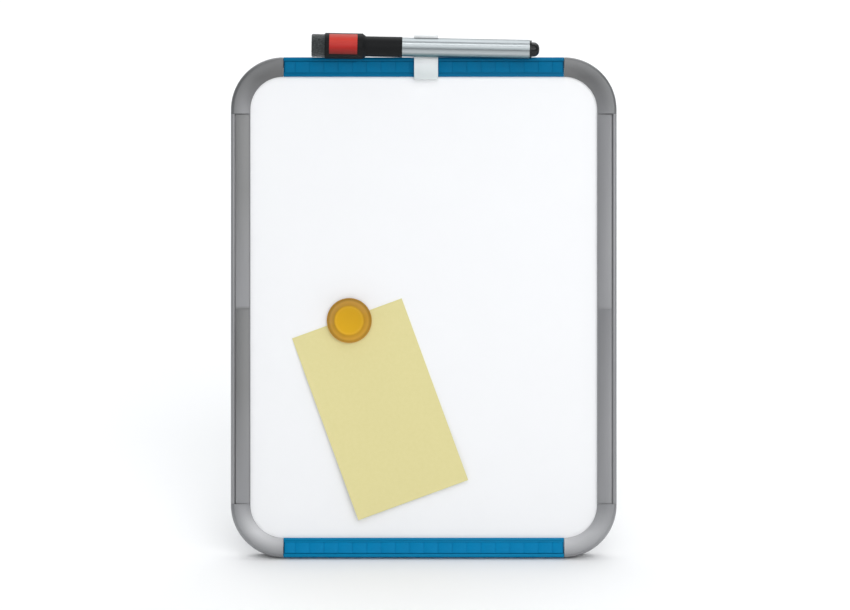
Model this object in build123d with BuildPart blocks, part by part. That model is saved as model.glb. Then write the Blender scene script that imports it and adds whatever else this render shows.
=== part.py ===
"""A small magnetic whiteboard that stands on a desk, with its marker, clip, magnet and note.

Everything on the board is placed in the board's own directions: x across, y up the board from its
bottom edge, z forward from its back. The board plane carries those directions, leaning back, and the
origin is on the desk, under the middle of the rubber strip that the board stands on.
"""

import os
from math import acos, cos, degrees, radians, sin

from build123d import *

os.makedirs("parts", exist_ok=True)

# ---- Driving dimensions: millimetres and degrees ----

# Stance on the desk
lean_angle = 18.0
leg_opening = 30.0
foot_setback = 2.7
foot_bevel_drop = 1.7
foot_proud = 0.6
foot_groove_depth = 0.9
foot_strip_width = 4.6
foot_strip_margin = 3.45

# Frame outline and cross-section
frame_width = 216.0
frame_height = 280.0
frame_depth = 11.0
corner_radius = 29.3
rail_width = 10.9
wall_width = 5.7
rear_lip = 2.0
rear_round = 0.8
bead_radius = 1.45
bead_width = 2.1
lip_thickness = 0.9
face_step = 0.55
inner_edge_height = 1.4
seam_gap = 0.25
side_seam_gap = 0.08
top_corner_leg = 2.3
bottom_corner_leg = 0.6

# Corner mouldings
crown_rise = 0.2
crown_radius = 2.0
crown_lip_round = 0.5
channel_start = 2.2
channel_width = 2.6
channel_height = 2.9
channel_floor = 5.0
tenon_clearance = 0.1
tenon_length = 10.0

# Blue rails: the ribbed grip strip and the two ridges beside it
strip_recess_width = 6.35
strip_groove = 0.3
strip_side_gap = 0.05
strip_end_margin = 0.7
rib_pitch = 8.0
rib_groove_width = 0.5
rib_groove_depth = 0.2
ridge_width = 0.65
ridge_groove = 0.4
ridge_rise = 0.12
ridge_fall = 0.2

# Grey side rails: the inlay plates
inlay_groove = 0.7
inlay_inner_gap = 0.1
inner_rim_width = 0.5
inlay_top_margin = 0.35
inlay_bottom_margin = 0.05
inlay_joint = 0.08

# Panel, from back to front
panel_inset = 6.0
backing_thickness = 1.0
core_thickness = 4.6
sheet_thickness = 0.5

# Hinge bracket, pin and rivets
hinge_height = 190.0
pivot_standoff = 2.4
bracket_thickness = 1.2
bracket_width = 76.0
bracket_length = 24.0
bracket_corner = 3.0
ear_radius = 3.2
ear_gap = 0.4
pin_radius = 1.25
pin_clearance = 0.05
pin_head_radius = 2.1
pin_head_thickness = 0.8
rivet_radius = 1.4
rivet_clearance = 0.05
rivet_head_radius = 2.6
rivet_head_height = 0.9
rivet_depth = 3.0
rivet_spacing_x = 62.0
rivet_spacing_y = 14.0

# Easel leg
leg_thickness = 3.0
leg_top_width = 40.0
leg_foot_width = 72.0
leg_shoulder = 8.0
leg_heel = 6.0
knuckle_radius = 2.6
stop_gap = 0.1
leg_foot_depth = 3.0
leg_foot_height = 7.0
leg_rim = 5.0
leg_pocket_depth = 1.2
leg_pocket_top = 16.0
leg_pocket_round = 2.5
leg_pad_length = 60.0
leg_pad_width = 4.4

# Marker clip
clip_x = 1.3
clip_width = 13.4
clip_gap = 0.15
clip_plate_thickness = 1.8
clip_drop = 12.4
clip_hook_width = 1.2
clip_hook_gap = 0.3
clip_hook_reach = 0.5
clip_bevel_height = 1.7
clip_bevel_drop = 0.5
clip_bridge_thickness = 1.2
grip_wall = 1.6
grip_clearance = 0.05
grip_opening = 75.0

# Marker: its axis stands above the top rail and in front of the frame's face
pen_height = 5.2
pen_standoff = 3.5
pen_tilt = 1.05
clip_to_cap = 13.3
barrel_radius = 5.35
barrel_length = 71.1
barrel_bore_radius = 3.6
spigot_radius = 4.3
spigot_length = 8.0
cap_clearance = 0.05
fill_clearance = 0.05
plug_flange_radius = 5.05
plug_flange_thickness = 1.15
plug_dome_radius = 4.05
plug_dome_length = 4.35
plug_dome_round = 3.3
plug_insert_length = 6.0
collar_insert_length = 4.0
collar_flange_radius = 4.15
collar_flange_thickness = 1.0
collar_cone_length = 5.0
collar_cone_base = 3.2
collar_cone_tip = 2.1
nib_radius = 1.5
nib_length = 15.0
nib_round = 1.0
reservoir_radius = 3.3
cap_radius = 5.7
cap_narrow_length = 20.3
cap_taper_length = 1.8
cap_head_radius = 7.2
cap_head_length = 21.1
cap_head_round = 0.8
cap_bore_length = 9.5
cap_chamber_radius = 3.5
cap_chamber_length = 10.5
cap_head_wall = 1.7
eraser_radius = 6.6
eraser_length = 7.6
eraser_seat = 2.0
eraser_round = 0.7
label_length = 15.7
label_from_eraser = 2.5
label_top_angle = 66.0
label_bottom_angle = 42.0
label_thickness = 0.15
label_margin = 0.15

# Magnet
magnet_x = -41.7
magnet_y = 132.6
magnet_radius = 12.6
magnet_flange_height = 1.6
magnet_waist_radius = 11.6
magnet_height = 8.0
magnet_top_radius = 8.2
magnet_top_round = 0.8
magnet_disc_radius = 7.75
magnet_disc_thickness = 4.6
magnet_disc_clearance = 0.05

# Note card
note_x = -24.45
note_y = 82.95
note_width = 65.4
note_length = 108.3
note_turn = 20.1
note_thickness = 0.3
layer_gap = 0.05

# ---- Directions and places that follow from the sizes ----

lean = radians(lean_angle)
board_up = Vector(0, sin(lean), cos(lean))
board_front = Vector(0, -cos(lean), sin(lean))
board = Plane(
    origin=(0, foot_setback, -foot_bevel_drop),
    x_dir=(1, 0, 0),
    z_dir=board_front,
)
desk_face = Plane.XY
bevel_face = Plane.XY.offset(foot_proud)

half_width = frame_width / 2
arc_x = half_width - corner_radius
side_top = frame_height - corner_radius - top_corner_leg
side_bottom = corner_radius + bottom_corner_leg

sheet_back = rear_lip + backing_thickness + core_thickness
sheet_front = sheet_back + sheet_thickness
recess_floor = sheet_front + lip_thickness
bead_centre = frame_depth - bead_radius
recess_start = bead_width
strip_start = recess_start + strip_groove
strip_recess_end = recess_start + strip_recess_width
inlay_recess_end = rail_width - inner_rim_width


def at(x, y, z=0.0):
    """World position of a point given across, up and out of the board."""
    return board.from_local_coords(Vector(x, y, z))


def section_plane(x, y, inward):
    """Plane across the frame at a point of its outer edge: local x inwards, local y forward."""
    inward_dir = at(*inward) - at(0, 0)
    return Plane(origin=at(x, y), x_dir=inward_dir, z_dir=inward_dir.cross(board_front))


def face_height(inset):
    """Height of the frame's sloping face, which falls from the bead to the inner edge."""
    outer = frame_depth - face_step
    inner = sheet_front + inner_edge_height
    return outer - (outer - inner) * (inset - strip_start) / (rail_width - strip_start)


# ---- Cross-sections of the frame ----


def rail_section(face_points):
    """Section of a rail: a bead, a face given by its points, and a slot that grips the panel."""
    flank = degrees(acos((bead_width - bead_radius) / bead_radius))
    with BuildSketch() as section:
        with BuildLine():
            Line((0, 0), (0, bead_centre))
            bead = CenterArc((bead_radius, bead_centre), bead_radius, 180, flank - 180)
            Polyline(
                bead @ 1,
                *face_points,
                (rail_width, sheet_front),
                (wall_width, sheet_front),
                (wall_width, rear_lip),
                (rail_width, rear_lip),
                (rail_width, 0),
                (0, 0),
            )
        make_face()
        fillet(section.vertices().sort_by_distance((0, 0))[0], rear_round)
        channel_centre = channel_start + channel_width / 2
        with Locations((channel_centre, channel_floor + channel_height / 2)):
            Rectangle(channel_width, channel_height, mode=Mode.SUBTRACT)
    return section.sketch_local


def ridge_points(start):
    """One raised ridge of a blue rail and the groove after it."""
    end = start + ridge_width
    return [
        (start, face_height(start) + ridge_rise),
        (end, face_height(end) + ridge_rise),
        (end, face_height(end) - ridge_fall),
        (end + ridge_groove, face_height(end + ridge_groove) - ridge_fall),
    ]


def blue_rail_section():
    """Rail with a recess for the ribbed strip and two fine ridges inside it."""
    second = strip_recess_end + ridge_width + ridge_groove
    return rail_section(
        [(recess_start, recess_floor), (strip_recess_end, recess_floor)]
        + ridge_points(strip_recess_end)
        + [
            (second, face_height(second) + ridge_rise),
            (rail_width - ridge_rise, face_height(rail_width) + ridge_rise),
            (rail_width, face_height(rail_width)),
        ]
    )


def side_rail_section():
    """Rail with a wide recess for the inlay plates and a narrow rim at the inner edge."""
    return rail_section(
        [
            (recess_start, recess_floor),
            (inlay_recess_end, recess_floor),
            (inlay_recess_end, face_height(inlay_recess_end)),
            (rail_width, face_height(rail_width)),
        ]
    )


def plate_section(start, end, sink):
    """Section of a strip or inlay that follows the sloping face, sunk by a little or not at all."""
    with BuildSketch() as section:
        with BuildLine():
            Polyline(
                (start, recess_floor),
                (start, face_height(start) - sink),
                (end, face_height(end) - sink),
                (end, recess_floor),
                close=True,
            )
        make_face()
    return section.sketch_local


def corner_section():
    """Section of a corner moulding: a smooth crown that rolls down to the inner edge."""
    crown = frame_depth + crown_rise
    with BuildSketch() as section:
        with BuildLine():
            Line((0, 0), (0, crown - crown_radius))
            top = CenterArc((crown_radius, crown - crown_radius), crown_radius, 180, -90)
            face = TangentArc(top @ 1, (rail_width, face_height(rail_width)), tangent=(1, 0))
            Polyline(
                face @ 1,
                (rail_width, sheet_front),
                (wall_width, sheet_front),
                (wall_width, rear_lip),
                (rail_width, rear_lip),
                (rail_width, 0),
                (0, 0),
            )
        make_face()
        fillet(section.vertices().sort_by_distance((0, 0))[0], rear_round)
        inner_edge = (rail_width, face_height(rail_width))
        fillet(section.vertices().sort_by_distance(inner_edge)[0], crown_lip_round)
    return section.sketch_local


# ---- Corner mouldings ----


def corner_moulding(start, end, lead_in, lead_out):
    """A quarter turn of the frame between two section planes, with a tenon at each end."""
    section = corner_section()
    turn_axis = Axis(start.from_local_coords(Vector(corner_radius, 0, 0)), board_front)
    tenon_centre = (
        channel_start + channel_width / 2,
        channel_floor + channel_height / 2,
    )
    tenon_size = (
        channel_width - 2 * tenon_clearance,
        channel_height - 2 * tenon_clearance,
    )
    with BuildPart() as corner:
        with BuildSketch(start):
            add(section)
        revolve(axis=turn_axis, revolution_arc=90)
        for plane, lead, way in ((start, lead_in, -1), (end, lead_out, 1)):
            if lead > 0:
                with BuildSketch(plane):
                    add(section)
                extrude(amount=way * lead)
            with BuildSketch(plane.offset(way * lead)):
                with Locations(tenon_centre):
                    Rectangle(*tenon_size)
            extrude(amount=way * tenon_length)
        split(bisect_by=bevel_face, keep=Keep.TOP)
    return corner.part


top_left_start = section_plane(-arc_x, frame_height, (0, -1))
top_left_end = section_plane(-half_width, frame_height - corner_radius, (1, 0))
bottom_left_start = section_plane(-half_width, corner_radius, (1, 0))
bottom_left_end = section_plane(-arc_x, 0, (0, 1))
bottom_right_start = section_plane(arc_x, 0, (0, 1))
bottom_right_end = section_plane(half_width, corner_radius, (-1, 0))
top_right_start = section_plane(half_width, frame_height - corner_radius, (-1, 0))
top_right_end = section_plane(arc_x, frame_height, (0, -1))

corners = {
    "corner_top_left": (top_left_start, top_left_end, 0, top_corner_leg),
    "corner_bottom_left": (bottom_left_start, bottom_left_end, bottom_corner_leg, 0),
    "corner_bottom_right": (bottom_right_start, bottom_right_end, 0, bottom_corner_leg),
    "corner_top_right": (top_right_start, top_right_end, top_corner_leg, 0),
}

for corner_name, (start, end, lead_in, lead_out) in corners.items():
    moulding = corner_moulding(start, end, lead_in, lead_out)
    moulding.label = corner_name
    export_step(moulding, f"parts/{corner_name}.step")

# ---- Rails ----

blue_length = 2 * (arc_x - seam_gap)
foot_strip_length = blue_length - 2 * foot_strip_margin
side_length = side_top - side_bottom - 2 * side_seam_gap

top_start = section_plane(arc_x - seam_gap, frame_height, (0, -1))
bottom_start = section_plane(-arc_x + seam_gap, 0, (0, 1))
left_start = section_plane(-half_width, side_top - side_seam_gap, (1, 0))
right_start = section_plane(half_width, side_bottom + side_seam_gap, (-1, 0))

with BuildPart() as top_rail:
    with BuildSketch(top_start):
        add(blue_rail_section())
    extrude(amount=blue_length)

top_rail.part.label = "top_rail"
export_step(top_rail.part, "parts/top_rail.step")

with BuildPart() as bottom_rail:
    with BuildSketch(bottom_start):
        add(blue_rail_section())
    extrude(amount=blue_length)
    split(bisect_by=bevel_face, keep=Keep.TOP)
    with BuildSketch(bevel_face):
        Rectangle(foot_strip_length + 2 * layer_gap, foot_strip_width + 2 * layer_gap)
    extrude(amount=foot_groove_depth, mode=Mode.SUBTRACT)

bottom_rail.part.label = "bottom_rail"
export_step(bottom_rail.part, "parts/bottom_rail.step")

with BuildPart() as foot_strip:
    with BuildSketch(desk_face):
        RectangleRounded(foot_strip_length, foot_strip_width, foot_strip_width / 3)
    extrude(amount=foot_proud + foot_groove_depth)

foot_strip.part.label = "foot_strip"
export_step(foot_strip.part, "parts/foot_strip.step")

with BuildPart() as left_rail:
    with BuildSketch(left_start):
        add(side_rail_section())
    extrude(amount=side_length)

left_rail.part.label = "left_rail"
export_step(left_rail.part, "parts/left_rail.step")

with BuildPart() as right_rail:
    with BuildSketch(right_start):
        add(side_rail_section())
    extrude(amount=side_length)

right_rail.part.label = "right_rail"
export_step(right_rail.part, "parts/right_rail.step")

# ---- Ribbed strips in the blue rails ----


def ribbed_strip(start):
    """A strip that fills a blue rail's recess, with fine grooves across it, evenly out from its middle."""
    length = blue_length - 2 * strip_end_margin
    half_count = int((length / 2 - rib_groove_width) / rib_pitch)
    end_rib = length / 2 - half_count * rib_pitch - rib_groove_width / 2
    ribs = [(0, end_rib), (length - end_rib, end_rib)]
    for rib in range(2 * half_count):
        ribs.append((end_rib + rib_groove_width + rib * rib_pitch, rib_pitch - rib_groove_width))
    strip_end = strip_recess_end - strip_side_gap
    with BuildPart() as strip:
        with BuildSketch(start.offset(strip_end_margin)):
            add(plate_section(strip_start, strip_end, rib_groove_depth))
        extrude(amount=length)
        for rib_start, rib_length in ribs:
            with BuildSketch(start.offset(strip_end_margin + rib_start)):
                add(plate_section(strip_start, strip_end, 0))
            extrude(amount=rib_length)
    return strip.part


for strip_name, strip_plane in (("top_strip", top_start), ("bottom_strip", bottom_start)):
    grip_strip = ribbed_strip(strip_plane)
    grip_strip.label = strip_name
    export_step(grip_strip, f"parts/{strip_name}.step")

# ---- Inlay plates in the side rails ----


def inlay_plate(start, offset):
    """Half of a side rail's inlay, starting at an offset along the rail."""
    inlay_start = recess_start + inlay_groove
    inlay_end = inlay_recess_end - inlay_inner_gap
    with BuildPart() as inlay:
        with BuildSketch(start.offset(offset)):
            add(plate_section(inlay_start, inlay_end, 0))
        extrude(amount=inlay_length)
    return inlay.part


inlay_length = (side_length - inlay_top_margin - inlay_bottom_margin - inlay_joint) / 2

inlays = {
    "left_inlay_upper": (left_start, inlay_top_margin),
    "left_inlay_lower": (left_start, inlay_top_margin + inlay_length + inlay_joint),
    "right_inlay_lower": (right_start, inlay_bottom_margin),
    "right_inlay_upper": (right_start, inlay_bottom_margin + inlay_length + inlay_joint),
}

for inlay_name, (inlay_plane, inlay_offset) in inlays.items():
    plate = inlay_plate(inlay_plane, inlay_offset)
    plate.label = inlay_name
    export_step(plate, f"parts/{inlay_name}.step")

# ---- Panel: backing sheet, core board and enamelled writing sheet ----

panel_width = frame_width - 2 * panel_inset
panel_height = frame_height - 2 * panel_inset
panel_corner = corner_radius - panel_inset
panel_centre = (0, frame_height / 2)

bracket_centre = (0, hinge_height)
bracket_back = rear_lip - bracket_thickness
rivet_hole = rivet_radius + rivet_clearance
rivet_points = [
    (side * rivet_spacing_x / 2, hinge_height + row * rivet_spacing_y / 2)
    for side in (-1, 1)
    for row in (-1, 1)
]

with BuildPart() as backing_sheet:
    with BuildSketch(board.offset(rear_lip)):
        with Locations(panel_centre):
            RectangleRounded(panel_width, panel_height, panel_corner)
        with Locations(*rivet_points):
            Circle(rivet_hole, mode=Mode.SUBTRACT)
    extrude(amount=backing_thickness)

backing_sheet.part.label = "backing_sheet"
export_step(backing_sheet.part, "parts/backing_sheet.step")

with BuildPart() as core_board:
    with BuildSketch(board.offset(rear_lip + backing_thickness)):
        with Locations(panel_centre):
            RectangleRounded(panel_width, panel_height, panel_corner)
    extrude(amount=core_thickness)
    with BuildSketch(board.offset(rear_lip + backing_thickness)):
        with Locations(*rivet_points):
            Circle(rivet_hole)
    extrude(amount=rivet_depth + rivet_clearance, mode=Mode.SUBTRACT)

core_board.part.label = "core_board"
export_step(core_board.part, "parts/core_board.step")

with BuildPart() as writing_sheet:
    with BuildSketch(board.offset(sheet_back)):
        with Locations(panel_centre):
            RectangleRounded(panel_width, panel_height, panel_corner)
    extrude(amount=sheet_thickness)

writing_sheet.part.label = "writing_sheet"
export_step(writing_sheet.part, "parts/writing_sheet.step")

# ---- Hinge bracket, rivets and pin ----

leg_half_top = leg_top_width / 2
ear_inner = leg_half_top + ear_gap
ear_outer = ear_inner + bracket_thickness
pivot = at(0, hinge_height, -pivot_standoff)
pivot_to_bracket = pivot_standoff + bracket_back


def across_plane(x, origin):
    """Plane square to the board's width, at x: local x up the board, local y forward."""
    return Plane(origin=origin + Vector(x, 0, 0), x_dir=board_up, z_dir=(1, 0, 0))


with BuildPart() as hinge_bracket:
    with BuildSketch(board.offset(bracket_back)):
        with Locations(bracket_centre):
            RectangleRounded(bracket_width, bracket_length, bracket_corner)
        with Locations(*rivet_points):
            Circle(rivet_hole, mode=Mode.SUBTRACT)
    extrude(amount=bracket_thickness)
    for ear_start in (-ear_outer, ear_inner):
        with BuildSketch(across_plane(ear_start, pivot)):
            Circle(ear_radius)
            with Locations((0, pivot_to_bracket / 2)):
                Rectangle(2 * ear_radius, pivot_to_bracket)
            Circle(pin_radius + pin_clearance, mode=Mode.SUBTRACT)
        extrude(amount=bracket_thickness)

hinge_bracket.part.label = "hinge_bracket"
export_step(hinge_bracket.part, "parts/hinge_bracket.step")

with BuildPart() as bracket_rivets:
    with BuildSketch(board.offset(bracket_back)):
        with Locations(*rivet_points):
            Circle(rivet_radius)
    extrude(amount=bracket_thickness + backing_thickness + rivet_depth)
    with BuildSketch(board.offset(bracket_back)):
        with Locations(*rivet_points):
            Circle(rivet_head_radius)
    extrude(amount=-rivet_head_height)
    head_rims = bracket_rivets.faces().sort_by(Axis(at(0, 0), board_front))[0:4].edges()
    fillet(head_rims, rivet_head_height * 0.8)

bracket_rivets.part.label = "bracket_rivets"
export_step(bracket_rivets.part, "parts/bracket_rivets.step")

pin_half = ear_outer + pin_clearance

with BuildPart() as hinge_pin:
    with BuildSketch(across_plane(-pin_half, pivot)):
        Circle(pin_radius)
    extrude(amount=2 * pin_half)
    for head_start in (-pin_half - pin_head_thickness, pin_half):
        with BuildSketch(across_plane(head_start, pivot)):
            Circle(pin_head_radius)
        extrude(amount=pin_head_thickness)

hinge_pin.part.label = "hinge_pin"
export_step(hinge_pin.part, "parts/hinge_pin.step")

# ---- Easel leg, standing open on its stop ----

leg_lean = radians(leg_opening - lean_angle)
leg_plane = Plane(
    origin=pivot,
    x_dir=(1, 0, 0),
    z_dir=(0, -cos(leg_lean), -sin(leg_lean)),
)
leg_reach = pivot.Z / cos(leg_lean)
leg_half_foot = leg_foot_width / 2
foot_overrun = leg_foot_depth + leg_thickness


def leg_half_width(down):
    """Half width of the leg at a distance down from its pivot."""
    if down <= leg_shoulder:
        return leg_half_top
    share = (down - leg_shoulder) / (leg_reach - leg_shoulder)
    return leg_half_top + (leg_half_foot - leg_half_top) * share


def leg_outline(top, bottom, inset):
    """Tapered outline of the leg between two distances down from its pivot."""
    turn = [leg_shoulder] if top < leg_shoulder < bottom else []
    stations = [top, *turn, bottom]
    right = [(leg_half_width(down) - inset, -down) for down in stations]
    left = [(-x, y) for x, y in reversed(right)]
    return right + left


pocket_bottom = leg_reach - leg_foot_height - leg_rim

with BuildPart() as easel_leg:
    with BuildSketch(leg_plane.offset(-leg_thickness / 2)):
        with BuildLine():
            Polyline(*leg_outline(-leg_heel, leg_reach + foot_overrun, 0), close=True)
        make_face()
    extrude(amount=leg_thickness)
    with BuildSketch(leg_plane.offset(-leg_thickness / 2)):
        with BuildLine():
            Polyline(*leg_outline(leg_reach - leg_foot_height, leg_reach + foot_overrun, 0), close=True)
        make_face()
    extrude(amount=-leg_foot_depth)
    for side in (-1, 1):
        with BuildSketch(leg_plane.offset(-leg_thickness / 2)) as pocket:
            with BuildLine():
                Polyline(
                    (side * leg_rim / 2, -leg_pocket_top),
                    (side * (leg_half_width(leg_pocket_top) - leg_rim), -leg_pocket_top),
                    (side * (leg_half_width(pocket_bottom) - leg_rim), -pocket_bottom),
                    (side * leg_rim / 2, -pocket_bottom),
                    close=True,
                )
            make_face()
            fillet(pocket.vertices(), leg_pocket_round)
        extrude(amount=leg_pocket_depth, mode=Mode.SUBTRACT)
    split(bisect_by=bevel_face, keep=Keep.TOP)
    split(bisect_by=board.offset(bracket_back - stop_gap), keep=Keep.BOTTOM)
    with BuildSketch(across_plane(-leg_half_top, pivot)):
        Circle(knuckle_radius)
    extrude(amount=leg_top_width)
    with BuildSketch(across_plane(-leg_half_top, pivot)):
        Circle(pin_radius + pin_clearance)
    extrude(amount=leg_top_width, mode=Mode.SUBTRACT)
    foot_faces = easel_leg.faces().filter_by(Plane.XY).sort_by(Axis.Z)
    foot_centre = foot_faces[0].center()
    with BuildSketch(bevel_face):
        with Locations((0, foot_centre.Y)):
            Rectangle(leg_pad_length + 2 * layer_gap, leg_pad_width + 2 * layer_gap)
    extrude(amount=foot_groove_depth, mode=Mode.SUBTRACT)

easel_leg.part.label = "easel_leg"
export_step(easel_leg.part, "parts/easel_leg.step")

with BuildPart() as leg_foot:
    with BuildSketch(desk_face):
        with Locations((0, foot_centre.Y)):
            RectangleRounded(leg_pad_length, leg_pad_width, leg_pad_width / 3)
    extrude(amount=foot_proud + foot_groove_depth)

leg_foot.part.label = "leg_foot"
export_step(leg_foot.part, "parts/leg_foot.step")

# ---- Marker clip on the top rail ----

pen_y = frame_height + pen_height
pen_z = frame_depth + pen_standoff
tilt = radians(pen_tilt)
pen_origin = at(clip_x, pen_y, pen_z)
pen_dir = at(cos(tilt), -sin(tilt)) - at(0, 0)
pen_plane = Plane(origin=pen_origin, x_dir=pen_dir, z_dir=board_front)
pen_axis = Axis(pen_origin, pen_dir)

plate_back = frame_depth + clip_gap
plate_front = plate_back + clip_plate_thickness
plate_low = frame_height - clip_drop
bridge_low = frame_height + clip_gap
rear_face = -clip_gap - clip_bridge_thickness
hook_inner = frame_height - rail_width - clip_hook_gap
grip_bore = barrel_radius + grip_clearance
plate_top = pen_y - grip_bore - clip_gap
grip_outer = grip_bore + grip_wall
opening = radians(grip_opening)


def block(low, high):
    """Rectangle between two corners, given as up the board and forward."""
    with Locations(((low[0] + high[0]) / 2, (low[1] + high[1]) / 2)):
        return Rectangle(high[0] - low[0], high[1] - low[1])


with BuildPart() as pen_clip:
    with BuildSketch(across_plane(clip_x - clip_width / 2, at(0, 0))):
        with Locations((pen_y, pen_z)):
            Circle(grip_outer)
        with BuildLine():
            Polyline(
                (pen_y, pen_z),
                (pen_y + 2 * grip_outer * sin(opening), pen_z + 2 * grip_outer * cos(opening)),
                (pen_y, pen_z + 3 * grip_outer),
                (pen_y - 2 * grip_outer * sin(opening), pen_z + 2 * grip_outer * cos(opening)),
                close=True,
            )
        make_face(mode=Mode.SUBTRACT)
        with BuildLine():
            Polyline(
                (plate_low, plate_front),
                (plate_top - clip_bevel_height, plate_front),
                (plate_top, plate_front - clip_bevel_drop),
                (pen_y, plate_front - clip_bevel_drop),
                (pen_y, pen_z + grip_outer),
                (plate_low, pen_z + grip_outer),
                close=True,
            )
        make_face(mode=Mode.SUBTRACT)
        with BuildLine():
            Polyline(
                (plate_low, plate_back),
                (plate_low, plate_front),
                (plate_top - clip_bevel_height, plate_front),
                (plate_top, plate_front - clip_bevel_drop),
                (plate_top, plate_back),
                close=True,
            )
        make_face()
        block((plate_low, sheet_front + clip_hook_reach), (hook_inner, plate_back))
        block((bridge_low, rear_face), (bridge_low + clip_bridge_thickness, plate_front - clip_bevel_drop))
        block((plate_low, rear_face), (bridge_low + clip_bridge_thickness, -clip_gap))
        block((plate_low, -clip_gap), (hook_inner, rear_lip - clip_hook_reach))
        with Locations((bridge_low - rail_width / 2, (plate_back - clip_gap) / 2)):
            Rectangle(rail_width, plate_back + clip_gap, mode=Mode.SUBTRACT)
    extrude(amount=clip_width)
    with BuildSketch(Plane(origin=pen_plane.from_local_coords(Vector(-clip_width, 0, 0)), z_dir=pen_dir)):
        Circle(grip_bore)
    extrude(amount=2 * clip_width, mode=Mode.SUBTRACT)

pen_clip.part.label = "pen_clip"
export_step(pen_clip.part, "parts/pen_clip.step")

# ---- Marker: profiles run along its axis, with x from the clip and y outwards ----

cap_mouth = -clip_to_cap
spigot_end = cap_mouth - spigot_length
barrel_end = cap_mouth + barrel_length
fill_radius = barrel_bore_radius - fill_clearance

with BuildPart() as pen_barrel:
    with BuildSketch(pen_plane):
        with BuildLine():
            Polyline(
                (spigot_end, barrel_bore_radius),
                (spigot_end, spigot_radius),
                (cap_mouth, spigot_radius),
                (cap_mouth, barrel_radius),
                (barrel_end, barrel_radius),
                (barrel_end, barrel_bore_radius),
                close=True,
            )
        make_face()
    revolve(axis=pen_axis)

pen_barrel.part.label = "pen_barrel"
export_step(pen_barrel.part, "parts/pen_barrel.step")

plug_start = barrel_end - plug_insert_length
flange_start = barrel_end + fill_clearance
dome_start = flange_start + plug_flange_thickness
dome_end = dome_start + plug_dome_length

with BuildPart() as end_plug:
    with BuildSketch(pen_plane) as plug_profile:
        with BuildLine():
            Polyline(
                (plug_start, 0),
                (plug_start, fill_radius),
                (flange_start, fill_radius),
                (flange_start, plug_flange_radius),
                (dome_start, plug_flange_radius),
                (dome_start, plug_dome_radius),
                (dome_end, plug_dome_radius),
                (dome_end, 0),
                close=True,
            )
        make_face()
        rim = plug_profile.vertices().sort_by_distance((dome_end, plug_dome_radius))[0]
        fillet(rim, plug_dome_round)
    revolve(axis=pen_axis)

end_plug.part.label = "end_plug"
export_step(end_plug.part, "parts/end_plug.step")

collar_start = spigot_end + collar_insert_length
collar_face = spigot_end - fill_clearance
cone_base = collar_face - collar_flange_thickness
cone_tip = cone_base - collar_cone_length
nib_hole = nib_radius + fill_clearance

with BuildPart() as nib_holder:
    with BuildSketch(pen_plane):
        with BuildLine():
            Polyline(
                (collar_start, nib_hole),
                (collar_start, fill_radius),
                (collar_face, fill_radius),
                (collar_face, collar_flange_radius),
                (cone_base, collar_flange_radius),
                (cone_base, collar_cone_base),
                (cone_tip, collar_cone_tip),
                (cone_tip, nib_hole),
                close=True,
            )
        make_face()
    revolve(axis=pen_axis)

nib_holder.part.label = "nib_holder"
export_step(nib_holder.part, "parts/nib_holder.step")

nib_back = collar_start + fill_clearance
nib_tip = nib_back - nib_length

with BuildPart() as nib:
    with BuildSketch(pen_plane) as nib_profile:
        with BuildLine():
            Polyline(
                (nib_back, 0),
                (nib_back, nib_radius),
                (nib_tip, nib_radius),
                (nib_tip, 0),
                close=True,
            )
        make_face()
        fillet(nib_profile.vertices().sort_by_distance((nib_tip, nib_radius))[0], nib_round)
    revolve(axis=pen_axis)

nib.part.label = "nib"
export_step(nib.part, "parts/nib.step")

reservoir_start = nib_back + fill_clearance
reservoir_end = plug_start - fill_clearance

with BuildPart() as ink_reservoir:
    with BuildSketch(Plane(origin=pen_plane.from_local_coords(Vector(reservoir_start, 0, 0)), z_dir=pen_dir)):
        Circle(reservoir_radius)
    extrude(amount=reservoir_end - reservoir_start)

ink_reservoir.part.label = "ink_reservoir"
export_step(ink_reservoir.part, "parts/ink_reservoir.step")

# ---- Marker cap with its felt eraser and label ----

cap_start = cap_mouth - cap_clearance
taper_start = cap_start - cap_narrow_length
head_start = taper_start - cap_taper_length
head_end = head_start - cap_head_length
bore_end = cap_start - cap_bore_length
chamber_end = bore_end - cap_chamber_length
cap_bore = spigot_radius + cap_clearance
eraser_seat_end = head_end + eraser_seat
eraser_bore = eraser_radius + fill_clearance
head_hollow = cap_head_radius - cap_head_wall
hollow_end = head_start - cap_head_wall
label_start = head_end + label_from_eraser


def label_band(inner, outer, margin):
    """Sector of a ring around the cap, from above its front to below it."""
    start_angle = -label_top_angle - margin
    span = label_top_angle + label_bottom_angle + 2 * margin
    with BuildSketch() as band:
        with BuildLine():
            inside = CenterArc((0, 0), inner, start_angle, span)
            outside = CenterArc((0, 0), outer, start_angle, span)
            Line(inside @ 0, outside @ 0)
            Line(inside @ 1, outside @ 1)
        make_face()
    return band.sketch_local


def label_plane(place):
    """Plane square to the marker's axis: local x forward, local y down the board."""
    origin = pen_plane.from_local_coords(Vector(place, 0, 0))
    return Plane(origin=origin, x_dir=board_front, z_dir=pen_dir)


margin_angle = degrees(label_margin / cap_head_radius)
label_seat = cap_head_radius - label_thickness

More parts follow.
